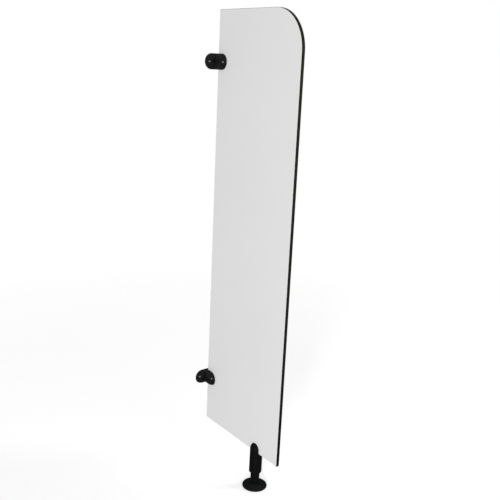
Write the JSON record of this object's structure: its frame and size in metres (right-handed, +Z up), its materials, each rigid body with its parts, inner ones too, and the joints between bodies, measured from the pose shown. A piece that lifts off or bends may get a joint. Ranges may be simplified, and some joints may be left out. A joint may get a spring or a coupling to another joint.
{
  "type": "urinal privacy screen",
  "caption": "Upright laminate privacy panel with a rounded top front corner, held to a wall by nylon corner brackets and to the floor by a height-adjustable leg.",
  "frame": {"origin": "centre of the underside of the leg's foot, on the floor", "axes": "+Z up along the leg's axis and the panel's height; -X towards the wall; the near face of the panel, which carries the brackets, looks to -Y"},
  "size_m": [0.41, 0.092, 1.528],
  "materials": {
    "laminate_core": "sawn and chamfered compact laminate edge, satin",
    "decor_sheet": "fine matt decorative laminate",
    "bracket_nylon": "moulded nylon, satin",
    "cover_plug_nylon": "moulded nylon, satin",
    "leg_nylon": "moulded nylon, satin",
    "sleeve_nylon": "moulded nylon, satin",
    "rosette_nylon": "moulded nylon, satin",
    "fixing_steel": "turned stainless steel",
    "leg_screw_steel": "rolled thread, stainless steel",
    "plate_zinc": "zinc plated steel, dull",
    "insert_brass": "machined brass",
    "pad_rubber": "matt rubber"
  },
  "bodies": {
    "screen": {"panel_core": "laminate_core", "near_decor_sheet": "decor_sheet", "far_decor_sheet": "decor_sheet", "upper_bracket": "bracket_nylon", "upper_wall_plug": "cover_plug_nylon", "upper_panel_plug": "cover_plug_nylon", "upper_bolt": "fixing_steel", "upper_washer": "fixing_steel", "upper_sleeve_nut": "fixing_steel", "lower_bracket": "bracket_nylon", "lower_wall_plug": "cover_plug_nylon", "lower_panel_plug": "cover_plug_nylon", "lower_bolt": "fixing_steel", "lower_washer": "fixing_steel", "lower_sleeve_nut": "fixing_steel", "leg_body": "leg_nylon", "leg_bolt": "fixing_steel", "leg_washer": "fixing_steel", "leg_sleeve_nut": "fixing_steel", "leg_bolt_plug": "cover_plug_nylon", "leg_nut_plug": "cover_plug_nylon", "leg_screw": "leg_screw_steel"},
    "foot": {"foot_plate": "plate_zinc", "thrust_washer": "fixing_steel", "retaining_ring": "fixing_steel", "floor_pad": "pad_rubber"},
    "adjuster": {"adjuster_sleeve": "sleeve_nylon", "adjuster_insert": "insert_brass"},
    "rosette": {"rosette": "rosette_nylon"}
  },
  "joints": [
    {"name": "foot_height", "type": "slide", "parent": "screen", "child": "foot", "axis": [0, 0, -1], "range_m": [-0.02, 0.02]},
    {"name": "adjuster_turn", "type": "hinge", "parent": "foot", "child": "adjuster", "pos_m": [0, 0, 0.05], "axis": [0, 0, -1], "range_deg": [-4115, 4115]},
    {"name": "rosette_lift", "type": "slide", "parent": "foot", "child": "rosette", "axis": [0, 0, 1], "range_m": [0, 0.018]}
  ],
  "couplings": [
    {"joint": "adjuster_turn", "follows": "foot_height", "rad_per_m": 3590.4}
  ]
}
